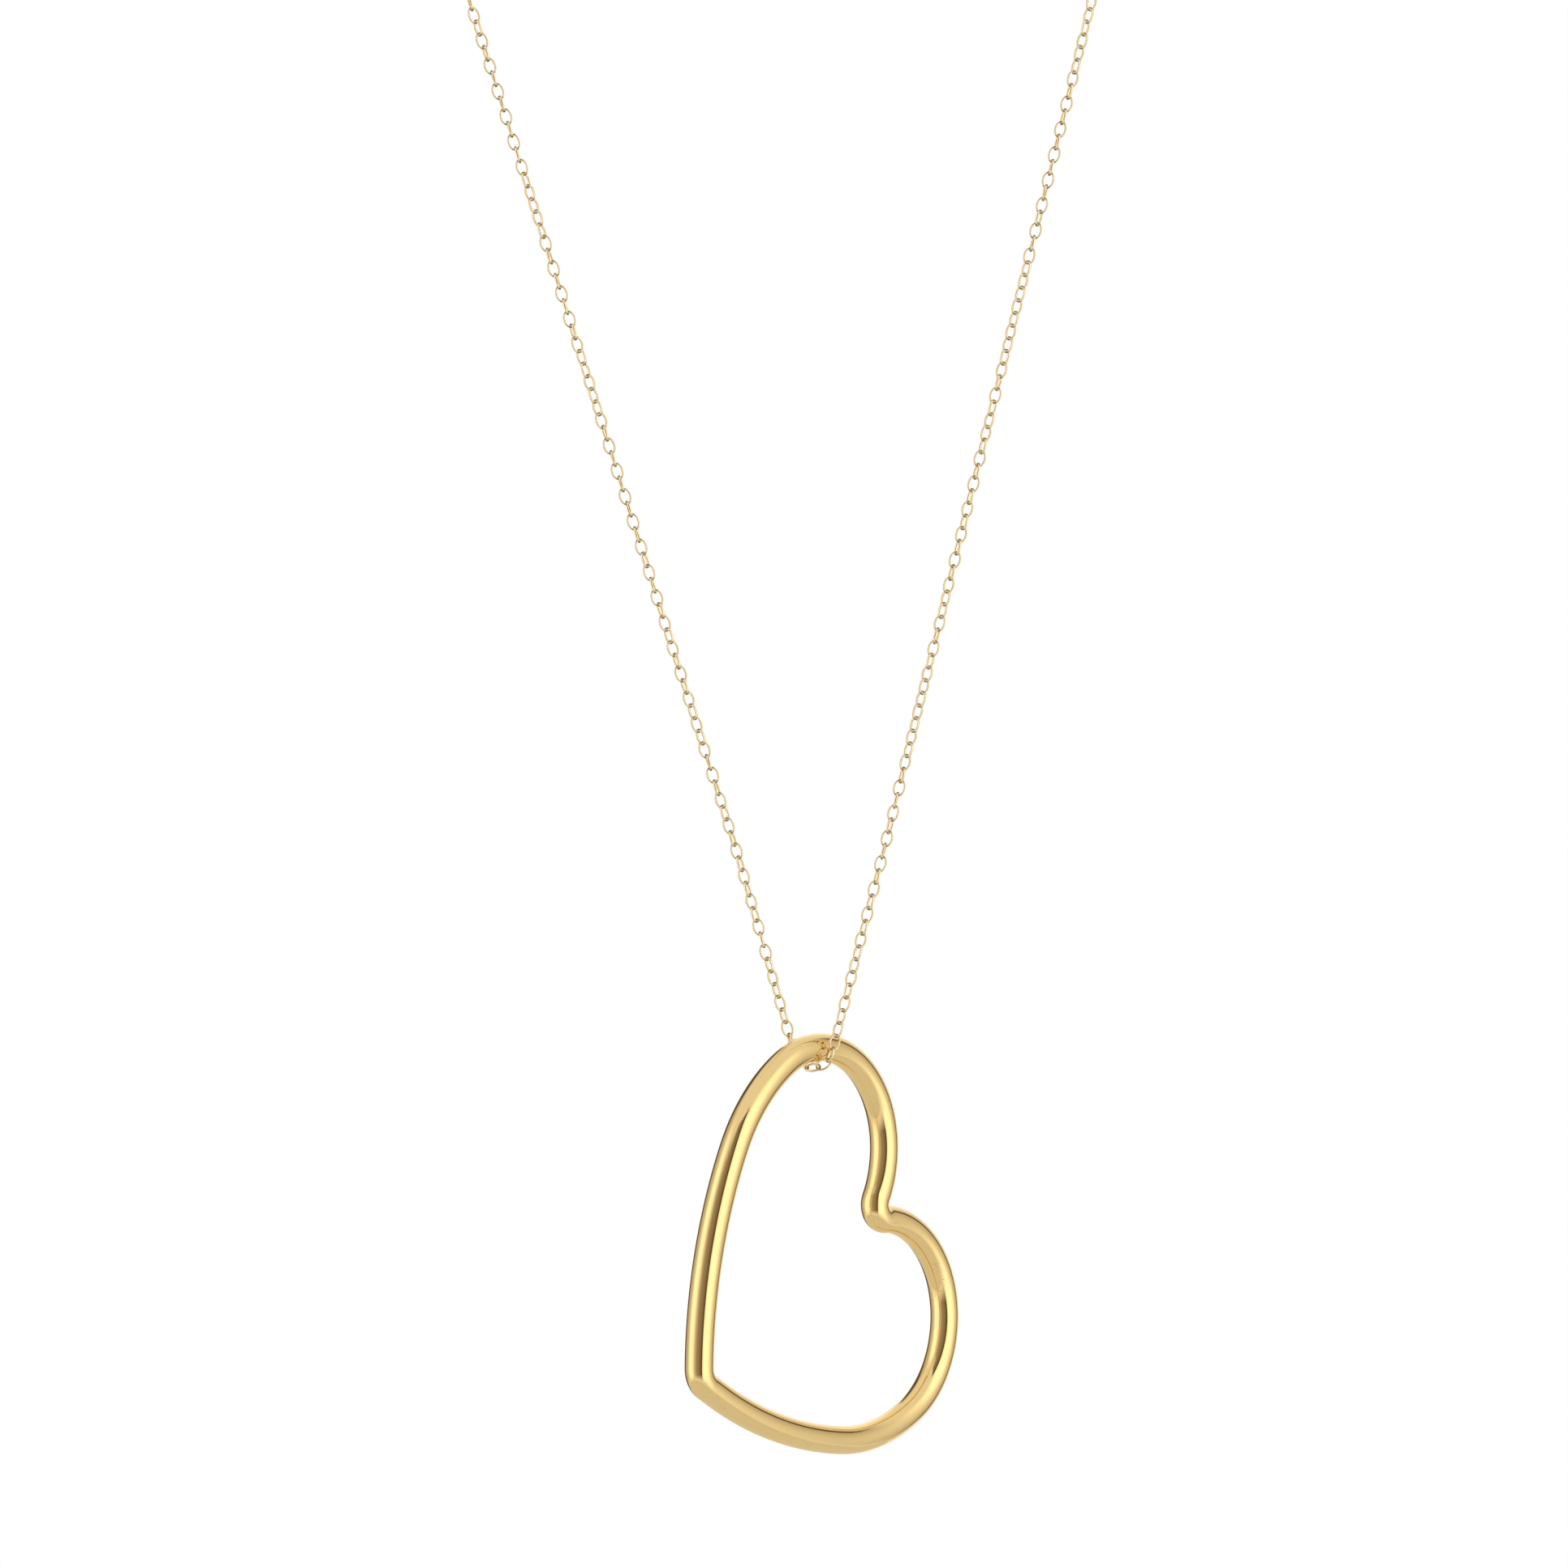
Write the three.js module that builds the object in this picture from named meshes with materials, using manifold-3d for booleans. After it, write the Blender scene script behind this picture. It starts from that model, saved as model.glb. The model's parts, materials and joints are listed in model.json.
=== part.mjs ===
// Open-heart pendant on a fine cable chain, as it hangs round a neck.
// Millimetres, +Z up, the wearer faces -Y. The origin is the middle of the neck, level with the place where
// the chain lies on both shoulders. The chain is cut into short runs that hinge front to back. The two
// halves of the chain bend together, because the heart and the clasp close the loop.
import * as THREE from 'three';
import { mergeVertices } from 'three/addons/utils/BufferGeometryUtils.js';
import Module from 'manifold-3d';

const wasm = await Module();
wasm.setup();

// ---- Driving dimensions -------------------------------------------------------------------------------
const GAP = 0.3; // air left where two pieces touch
const CHAIN_WIDTH = 1.05; // across one link
const CHAIN_SIDES = 8;

const TUBE_RADIUS = 1.185; // round bar of the heart
const TUBE_SIDES = 16;
const TUBE_STEP = 1.1; // between two sections of the bar
const HEART_TURN = THREE.MathUtils.degToRad(49.85); // the heart's left edge is turned towards the front
const HEART_TILT = THREE.MathUtils.degToRad(28.9); // its middle line, above the horizontal
const CHAIN_OFF_PLUMB = 0.72; // the chain lies this far along the bar from the line above the centre of mass

// The half outline of the heart, on the middle of the bar. p runs from the tip to the cleft, q to the side.
const LOBE = { p: 21.5, q: 8.29, radius: 8.58 };
const SHOULDER = { radius: 16, from: THREE.MathUtils.degToRad(0.9) };
const SIDE = { radius: 40.3, from: THREE.MathUtils.degToRad(34.5) };
const TIP_RADIUS = 1.8;
const CLEFT_RADIUS = 1.25;

// The plumb line through the heart's centre of mass, at the height of the bar under the chain, and the two
// straight front branches of the chain, whose hinges are level with that line from front to back.
const PLUMB = new THREE.Vector3(3.7, -46, -125);
const BRANCH_RISE = 93.6; // from the bar's middle up to the first hinge
const BRANCH_HALF_WIDTH = 27.7; // of the V at that height
const FRONT_RUNS = 6; // hinged runs in each branch

// The neck loop of one side, from the top of the branch to the middle of the nape: half width, y, z.
const NECK_LINE = [
  [36.5, -38, -14],
  [47.5, -17, 3],
  [50.5, 15, 14],
  [33, 45, 21],
];
const NAPE = new THREE.Vector3(0, 56, 23);
const NECK_HINGES = [-17, 15]; // y of the two hinges behind the shoulders
const NAPE_STRAIGHT = 12; // half width of the level stretch at the nape
const SAMPLES = 400; // fine points along the neck loop, from which each run takes its own

// ---- Solids -------------------------------------------------------------------------------------------
const GOLD = { color: 0xd9b45c, roughness: 0.16, metalness: 1 };
const necklace = new THREE.Group();

function addMesh(name, geometry, finish = GOLD) {
  const mesh = new THREE.Mesh(geometry, new THREE.MeshStandardMaterial(finish));
  mesh.name = name;
  necklace.add(mesh);
  return mesh;
}

// A section of regular sides, as wide across as the round bar that it stands for.
function roundShape(radius, sides) {
  const shape = new THREE.Shape();
  for (let i = 0; i < sides; i += 1) {
    const angle = (i + 0.5) * 2 * Math.PI / sides;
    const x = radius * Math.cos(angle);
    const y = radius * Math.sin(angle);
    if (i === 0) shape.moveTo(x, y);
    else shape.lineTo(x, y);
  }
  shape.closePath();
  return shape;
}

function tube(path, radius, sides, steps) {
  const options = { steps, bevelEnabled: false, extrudePath: path };
  return new THREE.ExtrudeGeometry(roundShape(radius, sides), options);
}

// A ring of round wire, lying in the plane whose normal is given.
function ring(radius, wire, normal, around = 20, sides = 8) {
  const turned = new THREE.Quaternion().setFromUnitVectors(new THREE.Vector3(0, 0, 1), normal);
  return new THREE.TorusGeometry(radius, wire / 2, sides, around).applyQuaternion(turned);
}

function toSolid(geometry) {
  const plain = geometry.clone();
  plain.deleteAttribute('normal');
  plain.deleteAttribute('uv');
  const merged = mergeVertices(plain, 1e-4);
  return new wasm.Manifold(new wasm.Mesh({
    numProp: 3,
    vertProperties: new Float32Array(merged.attributes.position.array),
    triVerts: new Uint32Array(merged.index.array),
  }));
}

function toGeometry(solid) {
  const mesh = solid.getMesh();
  const geometry = new THREE.BufferGeometry();
  geometry.setAttribute('position', new THREE.BufferAttribute(mesh.vertProperties, 3));
  geometry.setIndex(new THREE.BufferAttribute(mesh.triVerts, 1));
  geometry.computeVertexNormals();
  return geometry;
}

// ---- Heart --------------------------------------------------------------------------------------------
// One half of the outline is five arcs that run into each other. direction is the angle from the lobe's
// widest point, positive towards the tip, and the same angle gives the point on each arc.
function arcPoint(centre, radius, direction) {
  return new THREE.Vector2(centre.x - radius * Math.sin(direction), centre.y + radius * Math.cos(direction));
}

function halfHeart() {
  const lobe = new THREE.Vector2(LOBE.p, LOBE.q);
  const shoulder = arcPoint(lobe, LOBE.radius - SHOULDER.radius, SHOULDER.from);
  const side = arcPoint(shoulder, SHOULDER.radius - SIDE.radius, SIDE.from);
  const tipReach = SIDE.radius - TIP_RADIUS;
  const tip = new THREE.Vector2(side.x - Math.sqrt(tipReach ** 2 - side.y ** 2), 0);
  const cleftReach = LOBE.radius + CLEFT_RADIUS;
  const cleft = new THREE.Vector2(lobe.x + Math.sqrt(cleftReach ** 2 - lobe.y ** 2), 0);
  const tipStart = Math.atan2(side.x - tip.x, -side.y);
  const cleftEnd = -Math.atan2(cleft.x - lobe.x, -lobe.y);
  return [
    { centre: tip, radius: TIP_RADIUS, from: Math.PI / 2, to: tipStart },
    { centre: side, radius: SIDE.radius, from: tipStart, to: SIDE.from },
    { centre: shoulder, radius: SHOULDER.radius, from: SIDE.from, to: SHOULDER.from },
    { centre: lobe, radius: LOBE.radius, from: SHOULDER.from, to: cleftEnd },
    { centre: cleft, radius: -CLEFT_RADIUS, from: cleftEnd, to: -Math.PI / 2 },
  ];
}

// Points along half the outline, evenly within each arc, closer together in the two small corners.
function halfOutline() {
  const points = [];
  for (const arc of halfHeart()) {
    const length = Math.abs(arc.radius * (arc.to - arc.from));
    const count = Math.max(Math.round(length / TUBE_STEP), Math.abs(arc.radius) < 3 ? 4 : 1);
    for (let i = 0; i < count; i += 1) {
      points.push(arcPoint(arc.centre, arc.radius, arc.from + (arc.to - arc.from) * i / count));
    }
  }
  return points;
}

function wholeOutline() {
  const half = halfOutline();
  const cleft = halfHeart()[4];
  const mirrored = half.slice(1).map((point) => new THREE.Vector2(point.x, -point.y)).reverse();
  return [...half, arcPoint(cleft.centre, cleft.radius, cleft.to), ...mirrored];
}

// The bar's centre of mass lies on the outline's own middle line.
function barycentre(points) {
  let total = 0;
  let sum = 0;
  points.forEach((point, i) => {
    const next = points[(i + 1) % points.length];
    const length = point.distanceTo(next);
    total += length;
    sum += length * (point.x + next.x) / 2;
  });
  return sum / total;
}

// A closed bar: each section stands square to the outline, and the sections join up in a ring.
function closedBar(points, radius, sides, place) {
  const vertices = [];
  const triangles = [];
  const count = points.length;
  points.forEach((point, i) => {
    const along = points[(i + 1) % count].clone().sub(points[(i + count - 1) % count]).normalize();
    const out = new THREE.Vector2(-along.y, along.x);
    for (let k = 0; k < sides; k += 1) {
      const angle = (k + 0.5) * 2 * Math.PI / sides;
      const shift = radius * Math.cos(angle);
      vertices.push(...place(point.x + out.x * shift, point.y + out.y * shift, radius * Math.sin(angle)));
      const a = i * sides + k;
      const b = i * sides + (k + 1) % sides;
      const c = ((i + 1) % count) * sides + k;
      const d = ((i + 1) % count) * sides + (k + 1) % sides;
      triangles.push(a, b, d, a, d, c);
    }
  });
  const geometry = new THREE.BufferGeometry();
  geometry.setAttribute('position', new THREE.Float32BufferAttribute(vertices, 3));
  geometry.setIndex(triangles);
  geometry.computeVertexNormals();
  return geometry;
}

const heartAcross = new THREE.Vector3(Math.cos(HEART_TURN), Math.sin(HEART_TURN), 0);
const heartFacing = new THREE.Vector3(Math.sin(HEART_TURN), -Math.cos(HEART_TURN), 0);
const up = new THREE.Vector3(0, 0, 1);

const outline = wholeOutline();
const middle = barycentre(outline);

// From the outline's p and q to distances across and up from the centre of mass, in the plane of the heart.
function tilted(p, q) {
  return new THREE.Vector2(p - middle, q).rotateAround(new THREE.Vector2(), HEART_TILT);
}

const lobeMiddle = tilted(LOBE.p, LOBE.q);
const barAboveMass = lobeMiddle.y + Math.sqrt(LOBE.radius ** 2 - (lobeMiddle.x + CHAIN_OFF_PLUMB) ** 2);

function placeHeart(p, q, proud) {
  const point = tilted(p, q);
  return PLUMB.clone().addScaledVector(heartAcross, point.x).addScaledVector(up, point.y - barAboveMass)
    .addScaledVector(heartFacing, proud).toArray();
}

addMesh('heart_pendant', closedBar(outline, TUBE_RADIUS, TUBE_SIDES, placeHeart));

// ---- Chain --------------------------------------------------------------------------------------------
const CHAIN_RADIUS = CHAIN_WIDTH / 2;
const BIGHT_RADIUS = TUBE_RADIUS + GAP + CHAIN_RADIUS; // the bight's middle line round the bar
const BIGHT_TOP = 1.1; // the bight's two ends, above the middle of the bar
const BIGHT_CENTRE = PLUMB.clone().addScaledVector(heartAcross, -CHAIN_OFF_PLUMB);
const CHAIN_STEP = 2.6;

function chainRun(name, path) {
  const steps = Math.max(1, Math.round(path.getLength() / CHAIN_STEP));
  addMesh(name, tube(path, CHAIN_RADIUS, CHAIN_SIDES, steps));
}

// The bight passes under the top of the heart's bar, through the heart, from back left to front right.
class Bight extends THREE.Curve {
  getPoint(t, target = new THREE.Vector3()) {
    const half = Math.PI * BIGHT_RADIUS / 2;
    const s = (t * 2 - 1) * (half + BIGHT_TOP);
    const angle = THREE.MathUtils.clamp(s, -half, half) / BIGHT_RADIUS;
    const rise = Math.max(Math.abs(s) - half, 0);
    return target.copy(BIGHT_CENTRE).addScaledVector(heartFacing, BIGHT_RADIUS * Math.sin(angle))
      .addScaledVector(up, rise - BIGHT_RADIUS * Math.cos(angle));
  }
}
addMesh('chain_bight', tube(new Bight(), CHAIN_RADIUS, CHAIN_SIDES, 12));

// Each front branch runs from the bight to the neck. Its runs part at the same heights on both sides, so
// that one line across carries both hinges. The last run leans a little to reach its end of the bight.
function frontBranch(side, sideName) {
  const bottom = BIGHT_CENTRE.clone().addScaledVector(heartFacing, side * BIGHT_RADIUS);
  const top = new THREE.Vector3(side * BRANCH_HALF_WIDTH, PLUMB.y, PLUMB.z + BRANCH_RISE);
  const lean = (top.x - bottom.x) / (top.z - bottom.z);
  const pointAt = (z, y) => new THREE.Vector3(top.x + lean * (z - top.z), y, z);
  const lowest = PLUMB.z + BIGHT_TOP + GAP + CHAIN_RADIUS * Math.abs(lean);
  for (let run = 1; run <= FRONT_RUNS; run += 1) {
    const high = PLUMB.z + BRANCH_RISE * (1 - (run - 1) / FRONT_RUNS) - GAP / 2;
    const low = PLUMB.z + BRANCH_RISE * (1 - run / FRONT_RUNS) + GAP / 2;
    const end = run === FRONT_RUNS ? pointAt(lowest, bottom.y) : pointAt(low, PLUMB.y);
    chainRun(`chain_${sideName}_${run}`, new THREE.LineCurve3(pointAt(high, PLUMB.y), end));
  }
}

// The neck loop of one side is one smooth line, parted at its hinges.
function neckLoop(side, sideName, lastX) {
  const start = new THREE.Vector3(side * BRANCH_HALF_WIDTH, PLUMB.y, PLUMB.z + BRANCH_RISE);
  const onwards = start.clone().add(new THREE.Vector3(side * 1.6, 0.3, 5));
  const points = [start, onwards];
  NECK_LINE.forEach(([halfWidth, y, z]) => points.push(new THREE.Vector3(side * halfWidth, y, z)));
  points.push(NAPE.clone().setX(side * NAPE_STRAIGHT));
  points.push(NAPE.clone().setX(side * lastX));
  const samples = new THREE.CatmullRomCurve3(points, false, 'centripetal').getSpacedPoints(SAMPLES);
  const names = [`neck_${sideName}_1`, `neck_${sideName}_2`, `nape_${sideName}`];
  names.forEach((name, i) => {
    const from = i === 0 ? -Infinity : NECK_HINGES[i - 1] + GAP / 2;
    const to = i === names.length - 1 ? Infinity : NECK_HINGES[i] - GAP / 2;
    const inside = samples.filter((point) => point.y > from && point.y < to && point.z > start.z + GAP / 2);
    const kept = inside.filter((point, k) => k % 8 === 0 || k === inside.length - 1);
    chainRun(name, new THREE.CatmullRomCurve3(kept));
  });
}

// ---- Clasp --------------------------------------------------------------------------------------------
const CLASP_X = 0.63; // centre of the spring ring, which stands upright at the nape
const CLASP_RADIUS = 2.4;
const CLASP_TUBE = 0.55;
const CLASP_BORE = 0.4;
const TRIGGER_RADIUS = 0.31;
const EYE = { x: 4.55, radius: 0.85, wire: 0.45 };
const JUMP_RING = { x: 5.9, radius: 1.15, wire: 0.5 };
const END_RING = { x: -2.05, radius: 1.3, wire: 0.55 };
const DEG = Math.PI / 180;
const MOUTH = { from: -72 * DEG, to: 244 * DEG }; // the hollow ring runs between these, round by the top
const TRIGGER = { from: -122 * DEG, to: -30 * DEG };
const KNOB_AT = -62 * DEG;
const SLOT = { from: -68 * DEG, to: -15 * DEG, low: 0.2, high: 1, width: 0.52 }; // low, high: from the radius
const STEM = { radius: 0.18, length: 1, out: 0.6 }; // out: of its middle, beyond the ring's radius
const KNOB = { radius: 0.42, thickness: 0.42, out: 1.25 };

const acrossY = new THREE.Vector3(0, 1, 0);

class UprightArc extends THREE.Curve {
  constructor(radius, from, to) {
    super();
    this.radius = radius;
    this.from = from;
    this.to = to;
  }

  getPoint(t, target = new THREE.Vector3()) {
    const angle = this.from + (this.to - this.from) * t;
    const x = CLASP_X + this.radius * Math.cos(angle);
    return target.set(x, NAPE.y, NAPE.z + this.radius * Math.sin(angle));
  }
}

// The hollow ring of the spring-ring clasp, with its eye and the slot for the catch's stem.
function claspBody() {
  const steps = 28;
  const arc = new UprightArc(CLASP_RADIUS, MOUTH.from, MOUTH.to);
  const longer = new UprightArc(CLASP_RADIUS, MOUTH.from - 4 * DEG, MOUTH.to + 4 * DEG);
  const shell = toSolid(tube(arc, CLASP_TUBE, 10, steps));
  const bore = toSolid(tube(longer, CLASP_BORE, 10, steps));
  const eye = toSolid(ring(EYE.radius, EYE.wire, up, 16, 6).translate(EYE.x, NAPE.y, NAPE.z));
  const slotShape = new THREE.Shape();
  slotShape.absarc(0, 0, CLASP_RADIUS + SLOT.high, SLOT.from, SLOT.to, false);
  slotShape.absarc(0, 0, CLASP_RADIUS + SLOT.low, SLOT.to, SLOT.from, true);
  slotShape.closePath();
  const extrusion = { depth: SLOT.width, bevelEnabled: false, curveSegments: 5 };
  const slot = new THREE.ExtrudeGeometry(slotShape, extrusion);
  slot.translate(0, 0, -SLOT.width / 2).rotateX(Math.PI / 2).translate(CLASP_X, NAPE.y, NAPE.z);
  return toGeometry(shell.add(eye).subtract(bore).subtract(toSolid(slot)));
}

// The catch: a wire that slides inside the hollow ring, with a knob on a stem that comes out of the slot.
function claspTrigger() {
  const wire = toSolid(tube(new UprightArc(CLASP_RADIUS, TRIGGER.from, TRIGGER.to), TRIGGER_RADIUS, 8, 10));
  const outwards = new THREE.Vector3(Math.cos(KNOB_AT), 0, Math.sin(KNOB_AT));
  const place = (distance) => NAPE.clone().setX(CLASP_X).addScaledVector(outwards, distance).toArray();
  const stem = new THREE.CylinderGeometry(STEM.radius, STEM.radius, STEM.length, 8)
    .applyQuaternion(new THREE.Quaternion().setFromUnitVectors(acrossY, outwards))
    .translate(...place(CLASP_RADIUS + STEM.out));
  const knob = new THREE.CylinderGeometry(KNOB.radius, KNOB.radius, KNOB.thickness, 12)
    .translate(...place(CLASP_RADIUS + KNOB.out));
  return toGeometry(wire.add(toSolid(stem)).add(toSolid(knob)));
}

frontBranch(-1, 'left');
frontBranch(1, 'right');
const leftEnd = END_RING.x - END_RING.radius - END_RING.wire / 2 - GAP;
const rightEnd = JUMP_RING.x + JUMP_RING.radius + JUMP_RING.wire / 2 + GAP;
neckLoop(-1, 'left', -leftEnd);
neckLoop(1, 'right', rightEnd);
addMesh('clasp_body', claspBody());
addMesh('clasp_trigger', claspTrigger());
for (const [name, size, normal] of [['clasp_jump_ring', JUMP_RING, acrossY], ['end_ring', END_RING, up]]) {
  addMesh(name, ring(size.radius, size.wire, normal).translate(size.x, NAPE.y, NAPE.z));
}

export default necklace;
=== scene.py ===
"""An open heart on a fine cable chain: the looks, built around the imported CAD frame.

Metres, +Z up, the wearer faces -Y. Lengths are written in millimetres and turned into metres by MM.
"""
import json
import math
import random

import bpy
import numpy as np
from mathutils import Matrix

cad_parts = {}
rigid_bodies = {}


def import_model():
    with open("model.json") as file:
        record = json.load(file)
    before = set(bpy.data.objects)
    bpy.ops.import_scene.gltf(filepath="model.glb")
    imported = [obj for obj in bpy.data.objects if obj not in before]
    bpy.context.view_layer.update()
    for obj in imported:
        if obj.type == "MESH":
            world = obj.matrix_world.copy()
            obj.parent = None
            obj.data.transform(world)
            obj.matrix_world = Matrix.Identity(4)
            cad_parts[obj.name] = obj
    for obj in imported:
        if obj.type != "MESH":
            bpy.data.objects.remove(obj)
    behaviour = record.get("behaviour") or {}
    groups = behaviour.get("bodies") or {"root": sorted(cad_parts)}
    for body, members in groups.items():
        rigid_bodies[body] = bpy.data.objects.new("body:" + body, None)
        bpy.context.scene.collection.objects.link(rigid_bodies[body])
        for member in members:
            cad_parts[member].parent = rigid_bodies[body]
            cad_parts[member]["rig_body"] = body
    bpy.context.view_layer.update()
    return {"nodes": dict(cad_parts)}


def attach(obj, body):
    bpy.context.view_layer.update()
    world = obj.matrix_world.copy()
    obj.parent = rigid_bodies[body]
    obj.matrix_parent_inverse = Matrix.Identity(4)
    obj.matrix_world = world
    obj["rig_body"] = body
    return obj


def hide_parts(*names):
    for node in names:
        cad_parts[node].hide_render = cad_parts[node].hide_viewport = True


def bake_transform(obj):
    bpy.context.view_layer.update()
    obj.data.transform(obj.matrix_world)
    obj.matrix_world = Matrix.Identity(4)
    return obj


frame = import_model()

MM = 0.001
UP = np.array([0.0, 0.0, 1.0])
FRONT = np.array([0.0, -1.0, 0.0])

# ---- Driving dimensions, in millimetres, as the CAD has them --------------------------------------------
BAR_RADIUS = 1.185
HEART_TURN = math.radians(49.85)
HEART_TILT = math.radians(28.9)
LOBE = (21.5, 8.29)
LOBE_RADIUS = 8.58
SHOULDER_RADIUS = 16
SHOULDER_FROM = math.radians(0.9)
SIDE_RADIUS = 40.3
SIDE_FROM = math.radians(34.5)
TIP_RADIUS = 1.8
CLEFT_RADIUS = 1.25
CHAIN_OFF_PLUMB = 0.72
PLUMB = np.array([3.7, -46.0, -125.0])
ACROSS = np.array([math.cos(HEART_TURN), math.sin(HEART_TURN), 0.0])
FACING = np.array([math.sin(HEART_TURN), -math.cos(HEART_TURN), 0.0])

BRANCH_RISE = 93.6
BRANCH_HALF_WIDTH = 27.7
FRONT_RUNS = 6
CAD_BIGHT_RADIUS = 2.015
NECK_LINE = [(29.3, -45.7, -26.4), (36.5, -38, -14), (47.5, -17, 3), (50.5, 15, 14), (33, 45, 21)]
NAPE = np.array([0.0, 56.0, 23.0])
NAPE_STRAIGHT = 12
NECK_HINGES = (-17, 15)

# One link of the chain: an oval of flat wire.
LINK_WIDTH = 1.02
LINK_WIRE = 0.155  # seen square on
LINK_DEPTH = 0.215  # seen from its edge
LINK_PITCH = 1.08
LINK_PLAY = 0.055
LINKS_PER_FRONT_RUN = 15

# The clasp, upright at the nape. Angles are round its own centre, from +X towards +Z.
CLASP_X = 0.63
CLASP_RADIUS = 2.4
CLASP_TUBE = 0.55
CLASP_BORE = 0.4
MOUTH = (math.radians(-72), math.radians(244))
SLOT = (math.radians(-68), math.radians(-15))
TRIGGER_WIRE = 0.31
TRIGGER = (math.radians(-122), math.radians(-30))
KNOB_AT = math.radians(-62)
EYE = (4.55, 0.85, 0.45)  # x of its centre, radius, wire
JUMP_RING = (5.9, 1.15, 0.5)
END_RING = (-2.05, 1.3, 0.55)


# ---- Camera ---------------------------------------------------------------------------------------------
CAMERA_DISTANCE = 0.52  # from the chain's front branches
CAMERA_SPAN = 0.1288  # what the picture's width shows at that distance
CAMERA_FROM_PLUMB = (-0.003165, 0.02163)  # to the side and up, from the heart's plumb line at the bar


def make_camera():
    data = bpy.data.cameras.new("photo_camera")
    data.sensor_width = 36
    data.lens = data.sensor_width * CAMERA_DISTANCE / CAMERA_SPAN
    data.clip_start = 0.01
    camera = bpy.data.objects.new("photo_camera", data)
    bpy.context.scene.collection.objects.link(camera)
    sideways, upwards = CAMERA_FROM_PLUMB
    camera.location = PLUMB * MM + (sideways, -CAMERA_DISTANCE, upwards)
    camera.rotation_euler = (math.pi / 2, 0, 0)
    bpy.context.scene.camera = camera


# ---- Mesh helpers ---------------------------------------------------------------------------------------
def unit(vector):
    return vector / np.linalg.norm(vector)


def make_piece(name, vertices, faces, material, body=None):
    """A smooth mesh from vertices in millimetres."""
    mesh = bpy.data.meshes.new(name)
    mesh.from_pydata((np.asarray(vertices) * MM).tolist(), [], [tuple(face) for face in faces])
    mesh.polygons.foreach_set("use_smooth", [True] * len(mesh.polygons))
    mesh.set_sharp_from_angle(angle=math.radians(40))
    mesh.materials.append(material)
    mesh.update()
    piece = bpy.data.objects.new(name, mesh)
    bpy.context.scene.collection.objects.link(piece)
    if body:
        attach(piece, body)
    return piece


def set_painted_shade(piece, values):
    """Stores painted shade, where the piece is darkened, from 0 to 1 at each vertex, for its material."""
    attribute = piece.data.attributes.new("painted_shade", "FLOAT", "POINT")
    attribute.data.foreach_set("value", np.asarray(values, np.float32))


def grid_faces(rows, columns, closed_rows):
    """Quads of a grid whose columns always close, and whose rows close if asked."""
    faces = []
    for i in range(rows if closed_rows else rows - 1):
        here, below = i * columns, (i + 1) % rows * columns
        for j in range(columns):
            after = (j + 1) % columns
            faces.append((below + j, below + after, here + after, here + j))
    return faces


def superellipse(half_width, half_height, power, count):
    angles = (np.arange(count) + 0.5) * 2 * math.pi / count
    c, s = np.cos(angles), np.sin(angles)
    x = half_width * np.sign(c) * np.abs(c) ** (2 / power)
    y = half_height * np.sign(s) * np.abs(s) ** (2 / power)
    return np.stack([x, y], axis=1)


def sweep_closed(points, normal, section):
    """Vertices of a ring: section's x points outwards in the ring's plane, its y along normal."""
    along = np.roll(points, -1, 0) - np.roll(points, 1, 0)
    along /= np.linalg.norm(along, axis=1)[:, None]
    out = np.cross(along, normal)
    rows = points[:, None] + section[None, :, :1] * out[:, None] + section[None, :, 1:] * normal
    return rows.reshape(-1, 3)


# ---- Heart ----------------------------------------------------------------------------------------------
def arc_point(centre, radius, direction):
    return np.array([centre[0] - radius * math.sin(direction), centre[1] + radius * math.cos(direction)])


def half_heart_arcs():
    """Five arcs from the tip to the cleft: centre, radius, and the directions each runs between."""
    lobe = np.array(LOBE)
    shoulder = arc_point(lobe, LOBE_RADIUS - SHOULDER_RADIUS, SHOULDER_FROM)
    side = arc_point(shoulder, SHOULDER_RADIUS - SIDE_RADIUS, SIDE_FROM)
    tip_x = side[0] - math.sqrt((SIDE_RADIUS - TIP_RADIUS) ** 2 - side[1] ** 2)
    cleft_x = lobe[0] + math.sqrt((LOBE_RADIUS + CLEFT_RADIUS) ** 2 - lobe[1] ** 2)
    tip_end = math.atan2(side[0] - tip_x, -side[1])
    lobe_end = -math.atan2(cleft_x - lobe[0], -lobe[1])
    return [
        ((tip_x, 0), TIP_RADIUS, math.pi / 2, tip_end),
        (side, SIDE_RADIUS, tip_end, SIDE_FROM),
        (shoulder, SHOULDER_RADIUS, SIDE_FROM, SHOULDER_FROM),
        (lobe, LOBE_RADIUS, SHOULDER_FROM, lobe_end),
        ((cleft_x, 0), -CLEFT_RADIUS, lobe_end, -math.pi / 2),
    ]


def heart_outline(step):
    """Points along the middle of the bar, in the heart's own plane, right round."""
    half = []
    for centre, radius, start, end in half_heart_arcs():
        count = max(round(abs(radius * (end - start)) / step), 6)
        half += [arc_point(centre, radius, start + (end - start) * i / count) for i in range(count)]
    centre, radius, _, end = half_heart_arcs()[-1]
    mirrored = [point * (1, -1) for point in half[:0:-1]]
    return np.array(half + [arc_point(centre, radius, end)] + mirrored)


def middle_of(outline):
    """How far from the outline's origin the bar's centre of mass lies, along the heart's middle line."""
    following = np.roll(outline, -1, 0)
    lengths = np.linalg.norm(following - outline, axis=1)
    return float((lengths * (outline[:, 0] + following[:, 0]) / 2).sum() / lengths.sum())


HEART_STEP = 0.3
OUTLINE = heart_outline(HEART_STEP)
HEART_MIDDLE = middle_of(OUTLINE)


def tilted(points):
    """Across and up from the centre of mass."""
    c, s = math.cos(HEART_TILT), math.sin(HEART_TILT)
    p = points[..., 0] - HEART_MIDDLE
    q = points[..., 1]
    return np.stack([p * c - q * s, p * s + q * c], axis=-1)


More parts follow.
